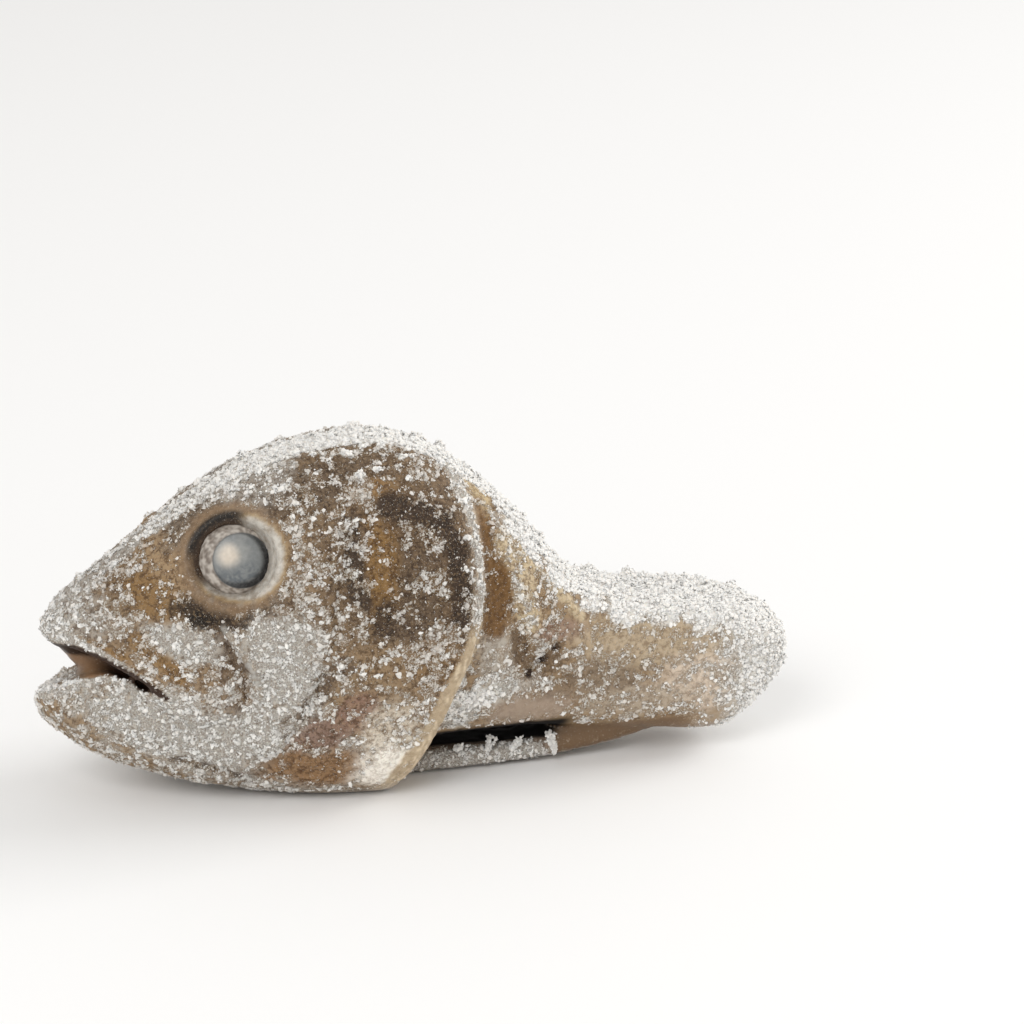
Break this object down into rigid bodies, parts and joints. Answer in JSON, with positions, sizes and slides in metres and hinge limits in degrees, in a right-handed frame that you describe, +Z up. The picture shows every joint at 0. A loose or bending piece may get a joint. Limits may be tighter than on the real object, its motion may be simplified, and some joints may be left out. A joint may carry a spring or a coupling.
{
  "type": "frozen fish head",
  "caption": "Head of a round-bodied white fish with a length of trunk left on, mouth part open, crusted with frost, standing on its throat.",
  "frame": {"origin": "middle of the bounding box's underside, on the plane that the throat rests on", "axes": "+X from the snout back along the trunk, +Z up, -Y towards the fish's left side"},
  "size_m": [0.2394, 0.0743, 0.1138],
  "materials": {
    "frosted_skin": "mottled brown and tan skin under rough white frost",
    "clouded_eye": "clouded blue-grey, wet gloss"
  },
  "bodies": {
    "root": {"head": "frosted_skin", "eye_left": "clouded_eye", "eye_right": "clouded_eye"}
  },
  "joints": []
}
